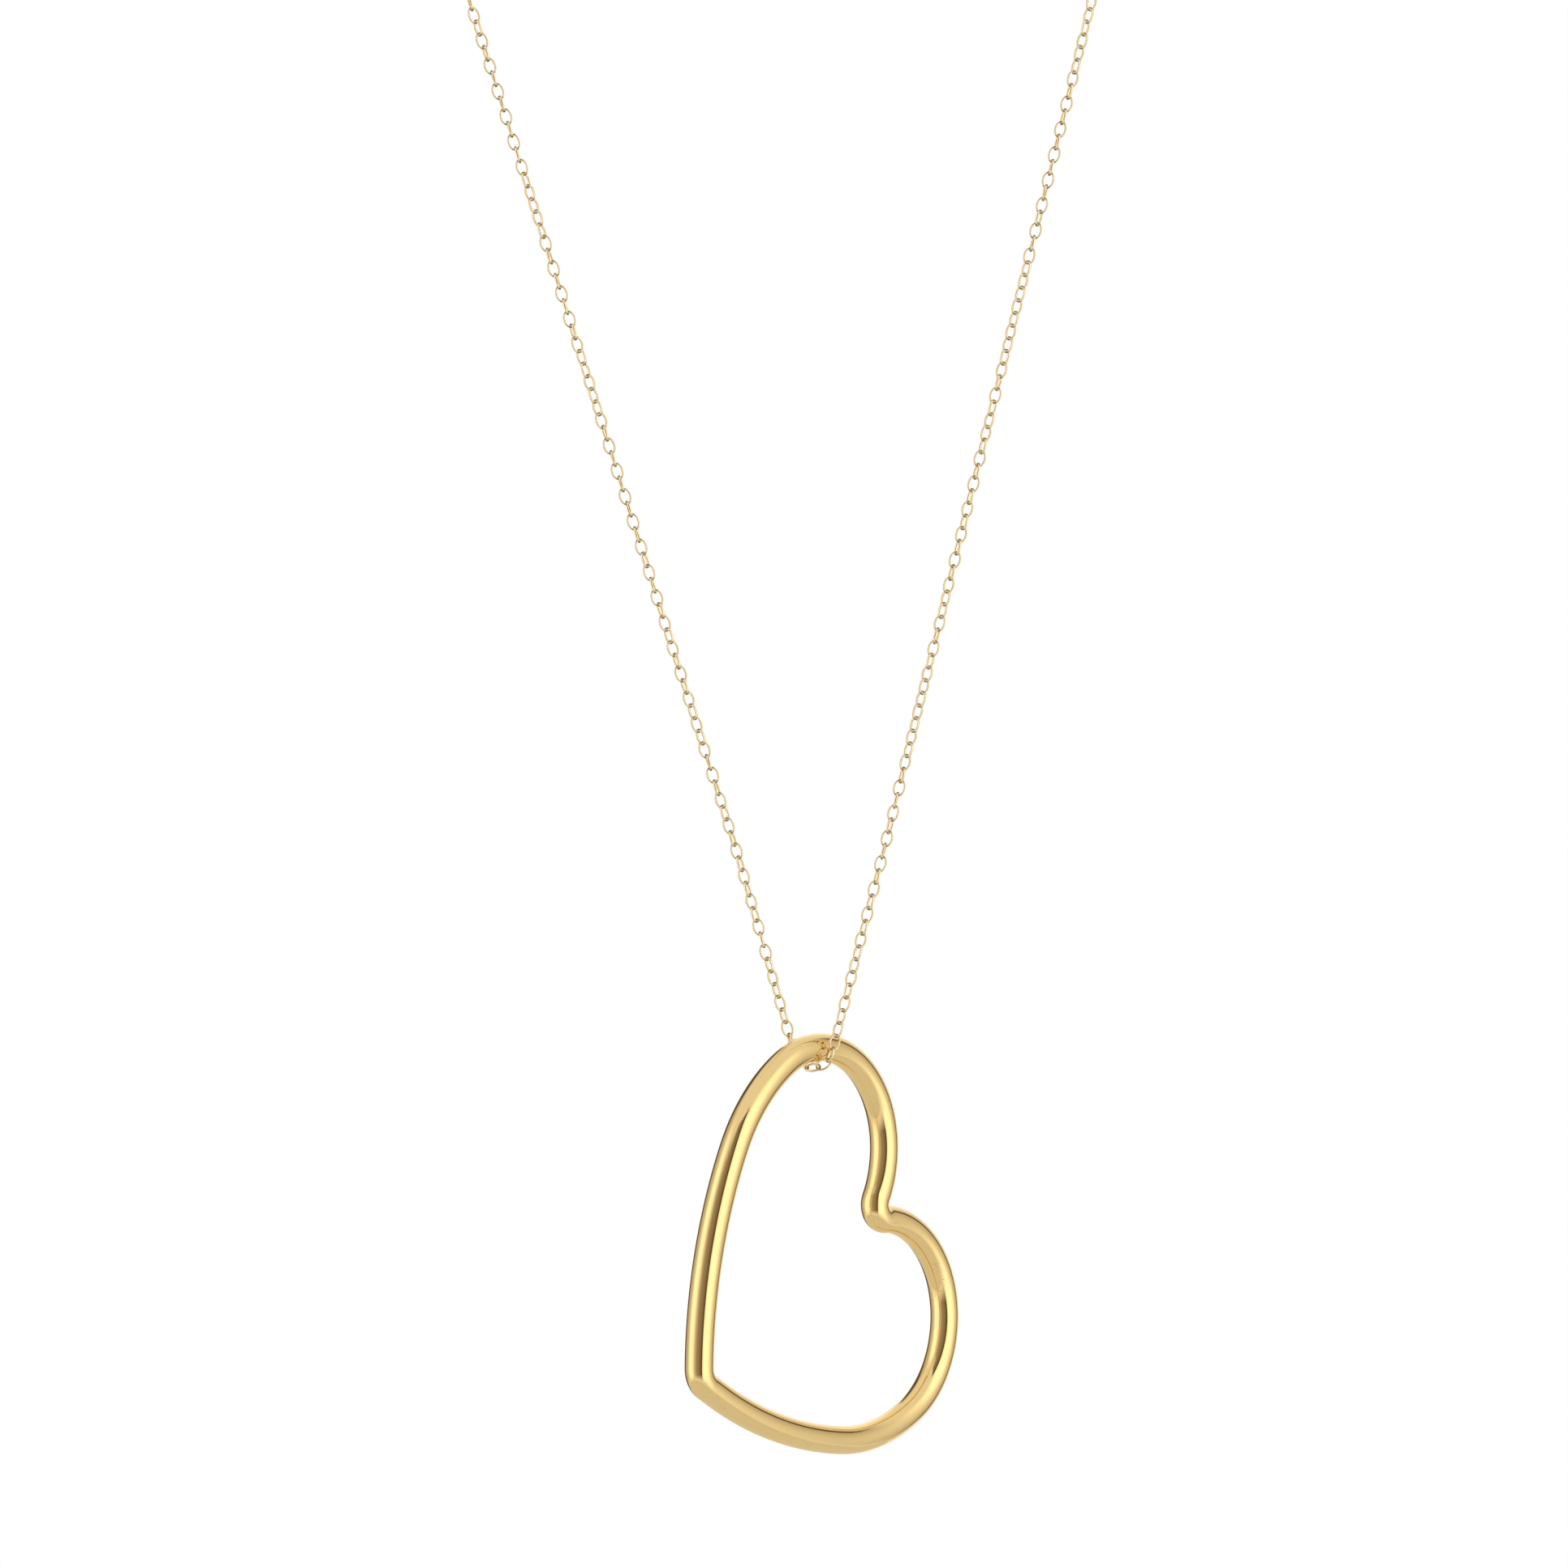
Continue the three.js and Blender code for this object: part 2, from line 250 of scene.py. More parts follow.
LOBE_MIDDLE = tilted(np.array(LOBE))


def bar_height(across):
    """Height of the upper bar's middle above the centre of mass, that far across from the plumb line."""
    return LOBE_MIDDLE[1] + math.sqrt(LOBE_RADIUS ** 2 - (across - LOBE_MIDDLE[0]) ** 2)


BAR_ABOVE_MASS = bar_height(-CHAIN_OFF_PLUMB)


def in_heart_plane(points):
    return PLUMB + points[..., :1] * ACROSS + (points[..., 1:] - BAR_ABOVE_MASS) * UP


def build_heart(material):
    sides = 56
    points = in_heart_plane(tilted(OUTLINE))
    vertices = sweep_closed(points, FACING, superellipse(BAR_RADIUS, BAR_RADIUS, 2, sides))
    faces = grid_faces(len(points), sides, True)
    heart = make_piece("heart", vertices, faces, material, "heart")
    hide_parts("heart_pendant")


# ---- Chain ----------------------------------------------------------------------------------------------
def along_route(points, distances):
    """Points that far along a line of points."""
    lengths = np.linalg.norm(np.diff(points, axis=0), axis=1)
    reached = np.concatenate([[0], np.cumsum(lengths)])
    return np.stack([np.interp(distances, reached, points[:, i]) for i in range(3)], axis=1)


def route_length(points):
    return float(np.linalg.norm(np.diff(points, axis=0), axis=1).sum())


def divided(points, count):
    """count + 1 pivots evenly along a line of points."""
    return along_route(points, np.linspace(0, route_length(points), count + 1))


def catmull_rom(points, steps=60):
    """A centripetal Catmull-Rom curve through the points, as fine points."""
    points = [2 * points[0] - points[1], *points, 2 * points[-1] - points[-2]]
    fine = []
    for p0, p1, p2, p3 in zip(points, points[1:], points[2:], points[3:]):
        t0 = 0.0
        t1 = t0 + math.sqrt(np.linalg.norm(p1 - p0))
        t2 = t1 + math.sqrt(np.linalg.norm(p2 - p1))
        t3 = t2 + math.sqrt(np.linalg.norm(p3 - p2))
        for t in np.linspace(t1, t2, steps, endpoint=False):
            a1 = p0 + (p1 - p0) * (t - t0) / (t1 - t0)
            a2 = p1 + (p2 - p1) * (t - t1) / (t2 - t1)
            a3 = p2 + (p3 - p2) * (t - t2) / (t3 - t2)
            b1 = a1 + (a2 - a1) * (t - t0) / (t2 - t0)
            b2 = a2 + (a3 - a2) * (t - t1) / (t3 - t1)
            fine.append(b1 + (b2 - b1) * (t - t1) / (t2 - t1))
    return np.array(fine + [points[-2]])


def branch_top(side):
    return np.array([side * BRANCH_HALF_WIDTH, PLUMB[1], PLUMB[2] + BRANCH_RISE])


def branch_point(side, part):
    """A point on the straight branch, from 0 at its top to 1 level with the bar."""
    bottom = PLUMB - ACROSS * CHAIN_OFF_PLUMB + FACING * side * CAD_BIGHT_RADIUS
    top = branch_top(side)
    return np.array([top[0] + (bottom[0] - top[0]) * part, top[1], top[2] - BRANCH_RISE * part])


def neck_route(side, last_x):
    """From the top of a front branch, over the shoulder, to the ring at the nape."""
    points = [branch_top(side)]
    points += [np.array([side * half_width, y, z], float) for half_width, y, z in NECK_LINE]
    points.append(NAPE + np.array([side * NAPE_STRAIGHT, 0, 0]))
    points.append(NAPE + np.array([last_x, 0, 0]))
    return catmull_rom(points)


BIGHT_SHIFT = -0.5  # along the bar: the chain lies a little lower on the lobe than the CAD's plain bight
BIGHT_HUG = 0.5  # from the bar's surface to the middle of the links that pass under it
HELIX = 0.19  # slope along the bar, because the two branches pull apart


def bight_route():
    """From the lowest left hinge, under the bar and up to the lowest right hinge."""
    across = BIGHT_SHIFT - CHAIN_OFF_PLUMB
    centre = PLUMB + ACROSS * across + UP * (bar_height(across) - BAR_ABOVE_MASS)
    radius = BAR_RADIUS + BIGHT_HUG
    turns = np.linspace(math.radians(-77), math.radians(80), 25)
    wrapped = [
        centre + radius * (FACING * math.sin(turn) - UP * math.cos(turn)) + ACROSS * HELIX * radius * turn
        for turn in turns
    ]
    last = (FRONT_RUNS - 1) / FRONT_RUNS
    return np.array([branch_point(-1, last), *wrapped, branch_point(1, last)])


def between_hinges(route, low, high):
    return route[(route[:, 1] >= low - 1e-6) & (route[:, 1] <= high + 1e-6)]


def with_hinge_points(route):
    """The route with a point added exactly at each hinge behind the shoulder."""
    for hinge in NECK_HINGES:
        i = int(np.argmax(route[:, 1] > hinge))
        part = (hinge - route[i - 1, 1]) / (route[i, 1] - route[i - 1, 1])
        route = np.insert(route, i, route[i - 1] + (route[i] - route[i - 1]) * part, axis=0)
    return route


def side_runs(side, last_x):
    """The pivots of one side's runs, from the nape forwards and down, and their names."""
    name = "left" if side < 0 else "right"
    route = with_hinge_points(neck_route(side, last_x))
    limits = [-math.inf, *NECK_HINGES, math.inf]
    runs = []
    for i, run in enumerate((f"neck_{name}_1", f"neck_{name}_2", f"nape_{name}")):
        stretch = between_hinges(route, limits[i], limits[i + 1])
        runs.insert(0, (run, divided(stretch, round(route_length(stretch) / LINK_PITCH))[::-1]))
    for k in range(1, FRONT_RUNS):
        ends = np.array([branch_point(side, (k - 1) / FRONT_RUNS), branch_point(side, k / FRONT_RUNS)])
        runs.append((f"chain_{name}_{k}", divided(ends, LINKS_PER_FRONT_RUN)))
    return runs


LINK_JOIN_RISE = 2.6  # above the bar's middle: links lower than this belong to the bight
RING_PLAY = 0.15  # between the last link at either end and its ring, so that the ring can roll


def chain_runs():
    """Every run in order from the end ring, right round to the jump ring, as (CAD node, pivots)."""
    left = side_runs(-1, END_RING[0] - END_RING[1] + END_RING[2] / 2 + RING_PLAY)
    right = side_runs(1, JUMP_RING[0] + JUMP_RING[1] - JUMP_RING[2] / 2 - RING_PLAY)
    route = bight_route()
    pivots = divided(route, round(route_length(route) / LINK_PITCH))
    low = np.flatnonzero(pivots[:, 2] < PLUMB[2] + LINK_JOIN_RISE)
    first, last = low[0], low[-1]
    middle = [
        (f"chain_left_{FRONT_RUNS}", pivots[:first + 1]),
        ("chain_bight", pivots[first:last + 1]),
        (f"chain_right_{FRONT_RUNS}", pivots[last:]),
    ]
    return left + middle + [(name, run[::-1]) for name, run in reversed(right)]


def carried_frames(pivots, first_normal):
    """Tangents, and normals carried along the whole chain without twist."""
    tangents = np.diff(pivots, axis=0)
    tangents /= np.linalg.norm(tangents, axis=1)[:, None]
    normals = [unit(first_normal - tangents[0] * (first_normal @ tangents[0]))]
    for before, tangent in zip(tangents, tangents[1:]):
        axis = np.cross(before, tangent)
        across = np.cross(axis, normals[-1])
        turned = normals[-1] + across + np.cross(axis, across) / (1 + before @ tangent)
        normals.append(unit(turned - tangent * (turned @ tangent)))
    return tangents, np.array(normals)


# The slow roll of the chain, in degrees round a middle: swing, links in one wave, and the wave's phase.
ROLL_MIDDLE = 24
ROLL_WAVES = ((28, 25, 3.5), (12, 9.5, 5.2), (12, 61, 4.1))
ROLL_JITTER = math.radians(6)
LEAN_JITTER = math.radians(3)
LINK_OVAL = 2.1  # power of the oval: 2 is an ellipse, more is squarer
LINK_CORNERS = 2.4  # the same for the wire's section
LINK_AROUND = 28
LINK_SECTION = 12


def link_hook_shade():
    """For each vertex of a link, how deep it lies inside the hook at either end, from 0 to 1: painted shade
    where the links hook together.
    """
    around = (np.arange(LINK_AROUND) + 0.5) * 2 * math.pi / LINK_AROUND
    section = (np.arange(LINK_SECTION) + 0.5) * 2 * math.pi / LINK_SECTION
    at_end = np.clip((np.abs(np.cos(around)) - 0.7) / 0.25, 0, 1)
    inside = 0.5 - 0.5 * np.cos(section)
    return (at_end[:, None] * inside[None, :]).ravel()


def link_rolls(count, closing):
    """The roll of each link: every second one is square to the next, and the last one suits its ring."""
    rng = random.Random(7)
    rolls = []
    for k in range(count):
        ends = min(1, k / 20, (count - 1 - k) / 20)
        waves = [swing * math.sin(2 * math.pi * k / links + phase) for swing, links, phase in ROLL_WAVES]
        roll = math.radians(ROLL_MIDDLE + sum(waves)) * ends + rng.uniform(-ROLL_JITTER, ROLL_JITTER)
        rolls.append(roll + closing * k / (count - 1) + (k % 2) * math.pi / 2)
    return rolls


def link_vertices(start, end, normal):
    """One oval link, hooked into its neighbours at both pivots."""
    along = unit(end - start)
    normal = unit(normal - along * (normal @ along))
    out = np.cross(normal, along)
    half_length = (np.linalg.norm(end - start) + LINK_PLAY + LINK_WIRE) / 2
    oval = superellipse(half_length, (LINK_WIDTH - LINK_WIRE) / 2, LINK_OVAL, LINK_AROUND)
    points = (start + end) / 2 + oval[:, :1] * along + oval[:, 1:] * out
    section = superellipse(LINK_WIRE / 2, LINK_DEPTH / 2, LINK_CORNERS, LINK_SECTION)
    return sweep_closed(points, -normal, section)


def build_chain(material):
    runs = chain_runs()
    pivots = np.concatenate([runs[0][1][:1], *[run[1:] for _, run in runs]])
    count = len(pivots) - 1
    tangents, normals = carried_frames(pivots, np.array([0.0, 1.0, 0.0]))
    sides = np.cross(tangents, normals)
    closing = math.atan2(UP @ sides[-1], UP @ normals[-1]) - ((count - 1) % 2) * math.pi / 2
    closing = (closing + math.pi / 2) % math.pi - math.pi / 2
    rolls = link_rolls(count, closing)
    rng = random.Random(11)
    link_faces = np.array(grid_faces(LINK_AROUND, LINK_SECTION, True))
    link = 0
    for name, run in runs:
        vertices, faces = [], []
        for start, end in zip(run, run[1:]):
            normal = normals[link] * math.cos(rolls[link]) + sides[link] * math.sin(rolls[link])
            normal = normal + tangents[link] * rng.uniform(-LEAN_JITTER, LEAN_JITTER)
            faces.append(link_faces + len(vertices) * LINK_AROUND * LINK_SECTION)
            vertices.append(link_vertices(start, end, normal))
            link += 1
        place_run(name, np.concatenate(vertices), np.concatenate(faces), material)


def place_run(node, vertices, faces, material):
    """One run of links, in place of the CAD's plain bar. The two beside the bight twist into it."""
    body = frame["nodes"][node]["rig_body"]
    blended = node in (f"chain_left_{FRONT_RUNS}", f"chain_right_{FRONT_RUNS}")
    links = make_piece("links_" + node, vertices, faces, material, None if blended else body)
    # Painted shade: each link is darkened inside its hooks, where its neighbours hook through.
    set_painted_shade(links, np.tile(link_hook_shade(), len(vertices) // (LINK_AROUND * LINK_SECTION)))
    if blended:
        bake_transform(links)
    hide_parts(node)


# ---- Clasp ----------------------------------------------------------------------------------------------
def ring_vertices(centre, normal, radius, wire, around=64, sides=16):
    """A ring of round wire, its normal at right angles to X, with a faint soldered seam at one side."""
    start = np.array([-1.0, 0.0, 0.0])
    other = np.cross(normal, start)
    angles = np.arange(around) * 2 * math.pi / around
    points = centre + radius * (np.cos(angles)[:, None] * start + np.sin(angles)[:, None] * other)
    surface = sweep_closed(points, normal, superellipse(wire / 2, wire / 2, 2, sides))
    surface = surface.reshape(around, sides, 3)
    seam = 1 - 0.1 * np.exp(-((angles - math.pi / 2) / 0.05) ** 2)
    surface = points[:, None] + (surface - points[:, None]) * seam[:, None, None]
    return surface.reshape(-1, 3)


def build_ring(name, size, normal, material, body, node):
    x, radius, wire = size
    vertices = ring_vertices(NAPE + np.array([x, 0, 0]), normal, radius, wire)
    piece = make_piece(name, vertices, grid_faces(64, 16, True), material, body)
    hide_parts(node)


def clasp_point(radius, angle):
    return NAPE + np.array([CLASP_X + radius * math.cos(angle), 0, radius * math.sin(angle)])


def clasp_surface(tube, angle, turn):
    """A point on a tube round the clasp's ring: turn 0 is the side away from the clasp's centre."""
    outwards = np.array([math.cos(angle), 0, math.sin(angle)])
    return clasp_point(CLASP_RADIUS, angle) + tube * (outwards * math.cos(turn) + FRONT * math.sin(turn))


def hollow_ring(steps=120, sides=28):
    """The clasp's hollow ring with its mouth and slot: an outer and an inner skin, joined at each edge."""
    angles = np.linspace(MOUTH[0], MOUTH[1], steps + 1)
    turns = (np.arange(sides) + 0.5) * 2 * math.pi / sides
    tubes = (CLASP_TUBE, CLASP_BORE)
    vertices = [clasp_surface(tube, a, t) for tube in tubes for a in angles for t in turns]
    inner = (steps + 1) * sides

    def solid(i, j):
        if not 0 <= i < steps:
            return False
        middle = (angles[i] + angles[i + 1]) / 2
        in_slot = SLOT[0] < middle < SLOT[1] and (j + 1) % sides in (0, 1, 2, sides - 1)
        return not in_slot

    faces = []
    for i in range(steps):
        for j in range(sides):
            if not solid(i, j):
                continue
            k = (j + 1) % sides
            a, b, c, d = i * sides + j, i * sides + k, (i + 1) * sides + k, (i + 1) * sides + j
            faces.append((a, b, c, d))
            faces.append((d + inner, c + inner, b + inner, a + inner))
            if not solid(i - 1, j):
                faces.append((b, a, a + inner, b + inner))
            if not solid(i + 1, j):
                faces.append((d, c, c + inner, d + inner))
            if not solid(i, (j - 1) % sides):
                faces.append((a, d, d + inner, a + inner))
            if not solid(i, k):
                faces.append((c, b, b + inner, c + inner))
    return np.array(vertices), [face[::-1] for face in faces]


def only_used(vertices, faces):
    """The same mesh without the vertices that no face uses."""
    used = sorted({index for face in faces for index in face})
    new = {old: i for i, old in enumerate(used)}
    return vertices[used], [tuple(new[index] for index in face) for face in faces]


def joined(parts):
    """Several closed meshes as one."""
    vertices, faces = [], []
    for part_vertices, part_faces in parts:
        shift = sum(len(v) for v in vertices)
        vertices.append(part_vertices)
        faces += [tuple(index + shift for index in face) for face in part_faces]
    return np.concatenate(vertices), faces


def capped_rod(points, radii, sides):
    """A straight or bent rod through points, closed by a fan at each end."""
    along = np.gradient(points, axis=0)
    rows = []
    for point, direction, radius in zip(points, along, radii):
        first = unit(np.cross(direction, FRONT))
        second = np.cross(first, unit(direction))
        turns = np.arange(sides) * 2 * math.pi / sides
        rows.append(point + radius * (np.cos(turns)[:, None] * first + np.sin(turns)[:, None] * second))
    vertices = np.concatenate([*rows, [points[0], points[-1]]])
    count = len(points) * sides
    faces = grid_faces(len(points), sides, False)
    faces += [(count, (j + 1) % sides, j)[::-1] for j in range(sides)]
    last = count - sides
    faces += [(count + 1, last + j, last + (j + 1) % sides)[::-1] for j in range(sides)]
    return vertices, faces


def lathe_disc(centre, axis, profile, sides):
    """A disc turned about axis through (radius, along) points; the first and last lie on the axis."""
    first = unit(np.cross(axis, UP + FRONT * 0.3 + np.array([0.2, 0, 0])))
    second = np.cross(axis, first)
    turns = np.arange(sides) * 2 * math.pi / sides
    rows = [
        centre + axis * along + radius * (np.cos(turns)[:, None] * first + np.sin(turns)[:, None] * second)
        for radius, along in profile[1:-1]
    ]
    vertices = np.concatenate([*rows, [centre + axis * profile[0][1], centre + axis * profile[-1][1]]])
    count = len(rows) * sides
    faces = [face[::-1] for face in grid_faces(len(rows), sides, False)]
    faces += [(count, (j + 1) % sides, j) for j in range(sides)]
    last = count - sides
    faces += [(count + 1, last + j, last + (j + 1) % sides) for j in range(sides)]
    return vertices, faces


def build_clasp(material):
    ring = only_used(*hollow_ring())
    x, radius, wire = EYE
    eye = (ring_vertices(NAPE + np.array([x, 0, 0]), UP, radius, wire), grid_faces(64, 16, True))
    vertices, faces = joined([ring, eye])
    body = make_piece("clasp_ring", vertices, faces, material, "clasp")
    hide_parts("clasp_body")

    angles = np.linspace(TRIGGER[0], TRIGGER[1], 40)
    from_end = np.minimum(angles - TRIGGER[0], TRIGGER[1] - angles)
    ends = np.sqrt(np.clip(from_end / 0.06, 0.04, 1))
    wire = capped_rod(np.array([clasp_point(CLASP_RADIUS, a) for a in angles]), TRIGGER_WIRE * ends, 20)
    stem_line = np.array([clasp_point(CLASP_RADIUS + out, KNOB_AT) for out in (0.1, 0.4, 0.7, 1.0)])
    stem = capped_rod(stem_line, [0.18] * 4, 16)
    knob_profile = (
        (0, -0.21), (0.3, -0.21), (0.39, -0.16), (0.42, 0), (0.39, 0.16), (0.3, 0.21), (0, 0.21),
    )
    knob = lathe_disc(clasp_point(CLASP_RADIUS + 1.25, KNOB_AT), -FRONT, knob_profile, 24)
    vertices, faces = joined([wire, stem, knob])
    catch = make_piece("clasp_catch", vertices, faces, material, "trigger")
    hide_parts("clasp_trigger")

    build_ring("soldered_jump_ring", JUMP_RING, FRONT, material, "jump_ring", "clasp_jump_ring")
    build_ring("soldered_end_ring", END_RING, UP, material, "end_ring", "end_ring")


# ---- Materials ------------------------------------------------------------------------------------------
class Nodes:
    """Short calls for a node tree."""

    def __init__(self, tree):
        self.tree = tree
        tree.nodes.clear()

    def add(self, kind, settings=(), **inputs):
        node = self.tree.nodes.new(kind)
        for name, value in dict(settings).items():
            setattr(node, name, value)
        for name, value in inputs.items():
            self.put(node.inputs[name.replace("_", " ")], value)
        return node

    def put(self, socket, value):
        if isinstance(value, bpy.types.NodeSocket):
            self.tree.links.new(value, socket)
        else:
            socket.default_value = value

    def math(self, operation, first, second=0.0):
        node = self.tree.nodes.new("ShaderNodeMath")
        node.operation = operation
        self.put(node.inputs[0], first)
        self.put(node.inputs[1], second)
        return node.outputs[0]

    def ramp(self, factor, stops, interpolation="LINEAR"):
        """stops: (position, grey level or colour)"""
        node = self.tree.nodes.new("ShaderNodeValToRGB")
        ramp = node.color_ramp
        ramp.interpolation = interpolation
        while len(ramp.elements) < len(stops):
            ramp.elements.new(0.5)
        for element, (position, value) in zip(ramp.elements, stops):
            element.position = position
            element.color = (value, value, value, 1) if isinstance(value, (int, float)) else (*value, 1)
        self.put(node.inputs[0], factor)
        return node.outputs[0]


def dashes(nodes, position, turn, scale, size):
    """Short fine scuffs that all run one way, as a mask: the middles of stretched cells."""
    stretched = nodes.add("ShaderNodeMapping", Vector=position, Rotation=turn, Scale=scale).outputs[0]
    spots = nodes.add("ShaderNodeTexVoronoi", Vector=stretched, Scale=1).outputs["Distance"]
    return nodes.ramp(spots, [(size * 0.5, 1.0), (size, 0.0)])


SCUFF_AND_SHADE_BROWN = (0.2, 0.13, 0.045)  # the brown of real scuffs and pits, and of the painted shade where links hook together


def gold(name, colour, roughness, wear):
    """Polished gold: uneven polish, short scuffs and a few tiny pits, and brown painted shade where the
    piece stores it. wear is how strong the scuffs and pits are.
    """
    material = bpy.data.materials.new(name)
    material.use_nodes = True
    nodes = Nodes(material.node_tree)
    position = nodes.add("ShaderNodeTexCoord").outputs["Object"]

    cloud = nodes.add("ShaderNodeTexNoise", Vector=position, Scale=230, Detail=3, Roughness=0.55).outputs[0]
    grain = nodes.add("ShaderNodeTexNoise", Vector=position, Scale=4200, Detail=2, Roughness=0.6).outputs[0]
    patches = nodes.ramp(cloud, [(0.5, 0.0), (0.64, 1.0)])
    one_way = dashes(nodes, position, (0.3, 0.5, 0.2), (520, 4200, 4200), 0.2)
    other_way = dashes(nodes, position, (1.2, -0.4, 0.9), (3800, 600, 3800), 0.17)
    pits = dashes(nodes, position, (0, 0, 0), (1500, 1500, 1500), 0.09)
    scuffs = nodes.math("MULTIPLY", nodes.math("MAXIMUM", one_way, other_way), patches)
    marks = nodes.math("MAXIMUM", scuffs, nodes.math("MULTIPLY", pits, patches))

    # Painted shade stored on the links, added to the real scuffs and pits: both turn the gold brown and
    # rougher.
    painted_shade = nodes.add("ShaderNodeAttribute", {"attribute_name": "painted_shade"}).outputs["Fac"]
    wear_and_painted_shade = nodes.math("MINIMUM", nodes.math("ADD", painted_shade, nodes.math("MULTIPLY", marks, 0.5 * wear)), 0.9)
    clean = nodes.ramp(cloud, [(0.3, [c * 0.96 for c in colour]), (0.7, colour)])
    mix = nodes.add("ShaderNodeMix", {"data_type": "RGBA"})
    nodes.put(mix.inputs[0], wear_and_painted_shade)
    nodes.put(mix.inputs[6], clean)
    nodes.put(mix.inputs[7], (*SCUFF_AND_SHADE_BROWN, 1))

    uneven = nodes.math("MULTIPLY", nodes.math("SUBTRACT", cloud, 0.5), roughness * 0.9)
    rough = nodes.math("ADD", nodes.math("ADD", uneven, roughness), nodes.math("MULTIPLY", wear_and_painted_shade, 0.2))
    height = nodes.math("ADD", nodes.math("MULTIPLY", grain, 0.2), nodes.math("MULTIPLY", cloud, 0.8))
    height = nodes.math("SUBTRACT", height, nodes.math("MULTIPLY", marks, 0.8))
    bump = nodes.add("ShaderNodeBump", Height=height, Strength=1.0, Distance=0.000004 * wear).outputs[0]
    shader = nodes.add(
        "ShaderNodeBsdfPrincipled", Base_Color=mix.outputs[2], Metallic=1.0, Roughness=rough, Normal=bump
    ).outputs[0]
    nodes.add("ShaderNodeOutputMaterial", Surface=shader)
    return material


# ---- Stage ----------------------------------------------------------------------------------------------
# The wall of the light tent as its brightness by direction, in degrees from the front, positive to the
# right: pale cloth, a soft lamp on each side and dark gaps at the seams behind the lamps.
TENT_WALL = (
    (-180, 1.1), (-166, 0.9), (-163, 0.12), (-136, 0.1), (-133, 0.45), (-112, 0.6), (-94, 0.8), (-78, 1.45),
    (-56, 1.25), (-38, 0.66), (-24, 0.4), (-10, 0.25), (8, 0.22), (22, 0.2), (25, 1.1), (42, 1.5),
    (72, 1.35), (92, 0.85), (110, 0.62), (121, 0.5), (123, 0.1), (130, 0.1), (132, 0.6), (150, 0.9),
    (166, 1.0), (180, 1.1),
)
BRIGHTEST = 2.0  # the tent's levels are written as parts of this, so that none passes 1
TENT_ROOF = 0.84
WALL_HEIGHTS = (-0.6, 0.84)  # heights of a direction between which the wall shows
WALL_SOFTNESS = 0.3  # how gently it meets the floor and the roof

# The slit in front that the camera looks through: directions to the left and right, and heights.
SLIT_SIDES = (-16, 24)
SLIT_HEIGHTS = (-0.33, 0.8)
SLIT_SOFTNESS = 0.02
SLIT_LEVELS = ((-16, 0.34), (8, 0.22), (18, 0.1), (24, 0.06))  # darkest at the right


def brown_when_dark(level):
    """Colour of a brightness, as a part of BRIGHTEST: white cloth, and a dim brown room in its gaps."""
    white = min(1, level / 0.8)
    level /= BRIGHTEST
    return (level, level * (0.76 + 0.24 * white), level * (0.5 + 0.5 * white))


def between(nodes, value, low, high, softness):
    """1 where value lies between low and high, 0 outside."""
    masks = []
    for limit, inside in ((low, softness), (high, -softness)):
        step = nodes.add("ShaderNodeMapRange", {"interpolation_type": "SMOOTHSTEP"}, Value=value)
        nodes.put(step.inputs["From Min"], limit)
        nodes.put(step.inputs["From Max"], limit + inside)
        masks.append(step.outputs[0])
    return nodes.math("MULTIPLY", *masks)


def mix_colours(nodes, factor, first, second):
    mix = nodes.add("ShaderNodeMix", {"data_type": "RGBA"})
    for index, value in ((0, factor), (6, first), (7, second)):
        nodes.put(mix.inputs[index], value)
    return mix.outputs[2]


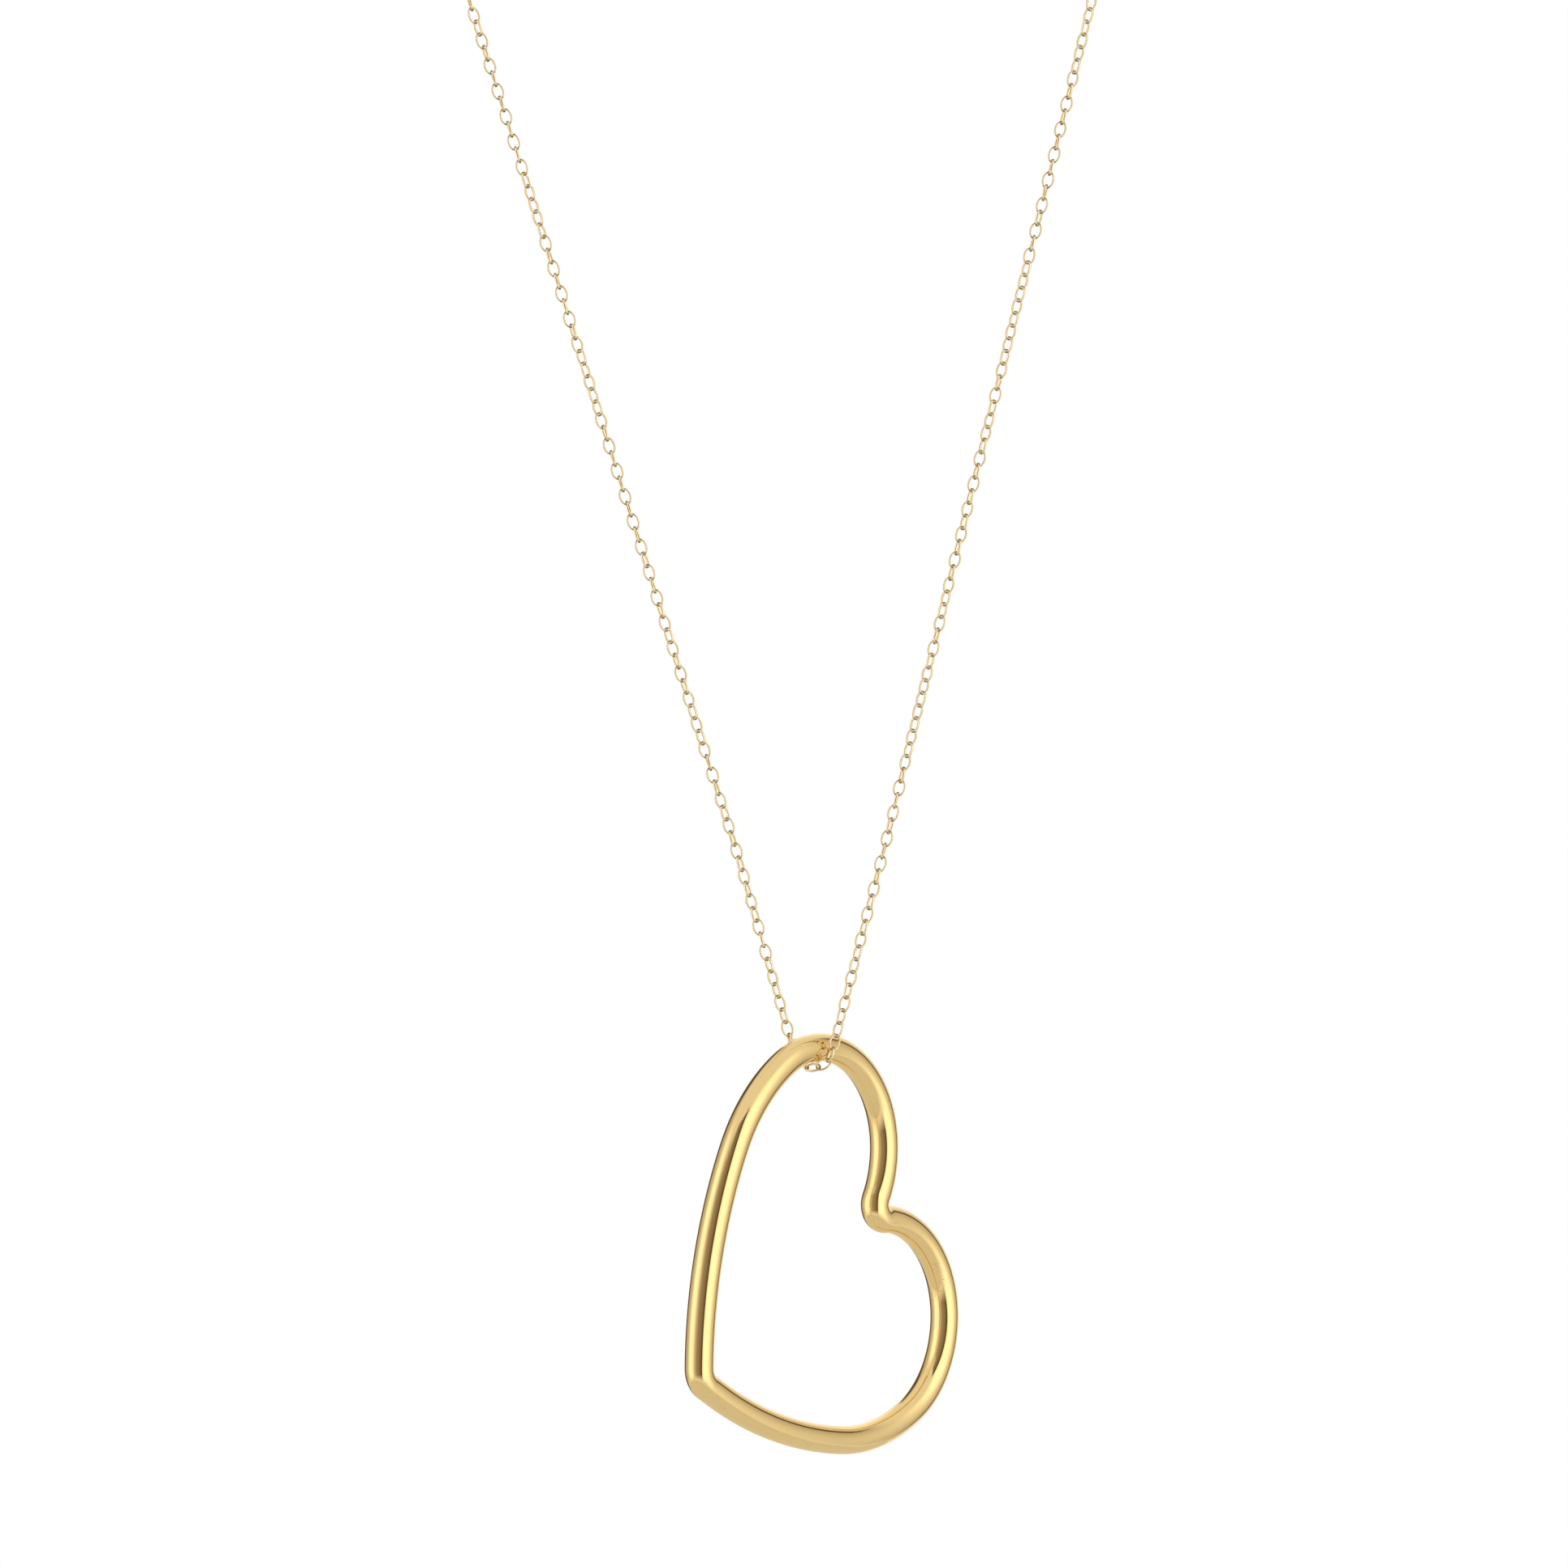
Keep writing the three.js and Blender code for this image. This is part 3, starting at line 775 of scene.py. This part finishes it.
def make_tent():
    """A white tent of soft light round the piece. Seen directly it is plain white."""
    world = bpy.data.worlds.new("light_tent")
    bpy.context.scene.world = world
    world.use_nodes = True
    nodes = Nodes(world.node_tree)
    direction = nodes.add("ShaderNodeTexCoord").outputs["Generated"]
    x, y, z = nodes.add("ShaderNodeSeparateXYZ", Vector=direction).outputs
    turn = nodes.math("ARCTAN2", x, nodes.math("MULTIPLY", y, -1.0))
    turn = nodes.math("ADD", nodes.math("DIVIDE", turn, 2 * math.pi), 0.5)
    wall = nodes.ramp(turn, [((angle + 180) / 360, brown_when_dark(level)) for angle, level in TENT_WALL])
    dark = nodes.ramp(turn, [((angle + 180) / 360, brown_when_dark(level)) for angle, level in SLIT_LEVELS])
    in_wall = between(nodes, z, *WALL_HEIGHTS, WALL_SOFTNESS)
    colour = mix_colours(nodes, in_wall, (*brown_when_dark(TENT_ROOF), 1), wall)
    left, right = ((side + 180) / 360 for side in SLIT_SIDES)
    across = between(nodes, turn, left, right, SLIT_SOFTNESS / math.pi)
    slit = nodes.math("MULTIPLY", across, between(nodes, z, *SLIT_HEIGHTS, SLIT_SOFTNESS))
    colour = mix_colours(nodes, slit, colour, dark)
    tent = nodes.add("ShaderNodeBackground", Color=colour, Strength=BRIGHTEST).outputs[0]
    plain = nodes.add("ShaderNodeBackground", Color=(1.0, 1.0, 1.0, 1.0), Strength=1.0).outputs[0]
    seen = nodes.add("ShaderNodeLightPath").outputs["Is Camera Ray"]
    mix = nodes.tree.nodes.new("ShaderNodeMixShader")
    for index, value in enumerate((seen, tent, plain)):
        nodes.put(mix.inputs[index], value)
    nodes.add("ShaderNodeOutputWorld", Surface=mix.outputs[0])


FLOOR_BELOW = 300  # below the heart's bar
FLOOR_RADIUS = 420


def make_floor():
    """A pale round table under the piece, too small to show from the front."""
    centre = PLUMB * (0, 0, 1) - UP * FLOOR_BELOW
    profile = ((0, 0), (FLOOR_RADIUS - 4, 0), (FLOOR_RADIUS, -4), (FLOOR_RADIUS, -16), (0, -16))
    vertices, faces = lathe_disc(centre, UP, profile, 96)
    mesh = bpy.data.meshes.new("floor")
    mesh.from_pydata((vertices * MM).tolist(), [], [tuple(face) for face in faces])
    material = bpy.data.materials.new("pale_floor")
    material.use_nodes = True
    nodes = Nodes(material.node_tree)
    position = nodes.add("ShaderNodeTexCoord").outputs["Object"]
    cloud = nodes.add("ShaderNodeTexNoise", Vector=position, Scale=6, Detail=4).outputs[0]
    tint = nodes.ramp(cloud, [(0.3, 0.84), (0.7, 0.88)])
    shader = nodes.add("ShaderNodeBsdfPrincipled", Base_Color=tint, Roughness=0.8).outputs[0]
    nodes.add("ShaderNodeOutputMaterial", Surface=shader)
    mesh.materials.append(material)
    floor = bpy.data.objects.new("floor", mesh)
    bpy.context.scene.collection.objects.link(floor)


# ---- Build ----------------------------------------------------------------------------------------------
make_camera()
make_tent()
make_floor()
bpy.context.scene.view_settings.view_transform = "Standard"

build_heart(gold("polished_heart_gold", (0.97, 0.715, 0.315), 0.04, 1.0))
build_chain(gold("chain_link_gold", (1.0, 0.815, 0.48), 0.2, 0.4))
build_clasp(gold("clasp_gold_finish", (0.97, 0.745, 0.35), 0.08, 1.0))
